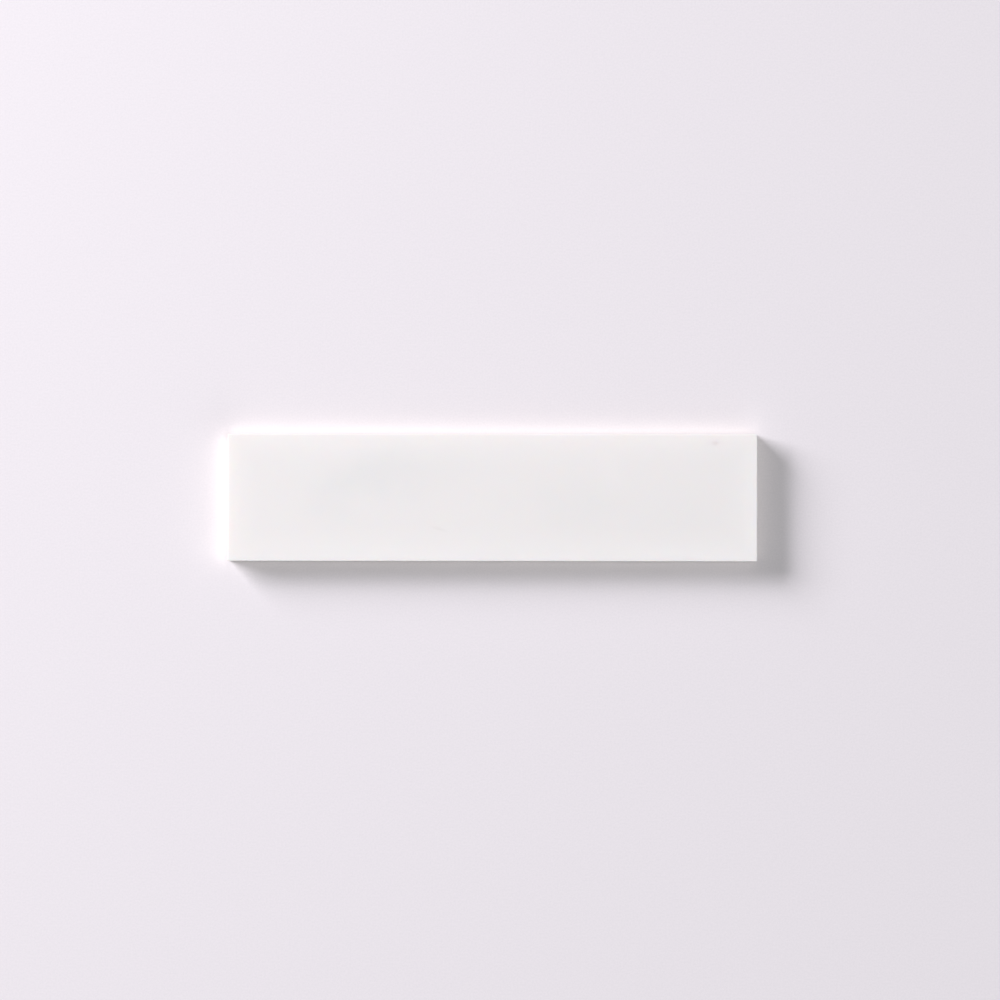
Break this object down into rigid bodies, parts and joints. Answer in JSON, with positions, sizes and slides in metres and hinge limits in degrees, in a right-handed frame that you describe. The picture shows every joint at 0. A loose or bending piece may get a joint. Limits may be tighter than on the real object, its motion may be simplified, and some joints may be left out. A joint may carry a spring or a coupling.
{
  "type": "subway wall tile",
  "caption": "Long flat white wall tile with crisp eased edges, a smooth face and a keyed back with lengthwise grooves, for bonding to a wall in courses with grout joints.",
  "frame": {"origin": "middle of the back, on the rib along the centre line, level with the surface that the tile lies on", "axes": "+X along the tile's length, +Y across its width, +Z out of the glazed face"},
  "size_m": [0.25, 0.06, 0.009],
  "materials": {
    "tile": "smooth satin white glaze on a fine white body, bare at the sides and back"
  },
  "bodies": {
    "root": {"tile": "tile"}
  },
  "joints": []
}
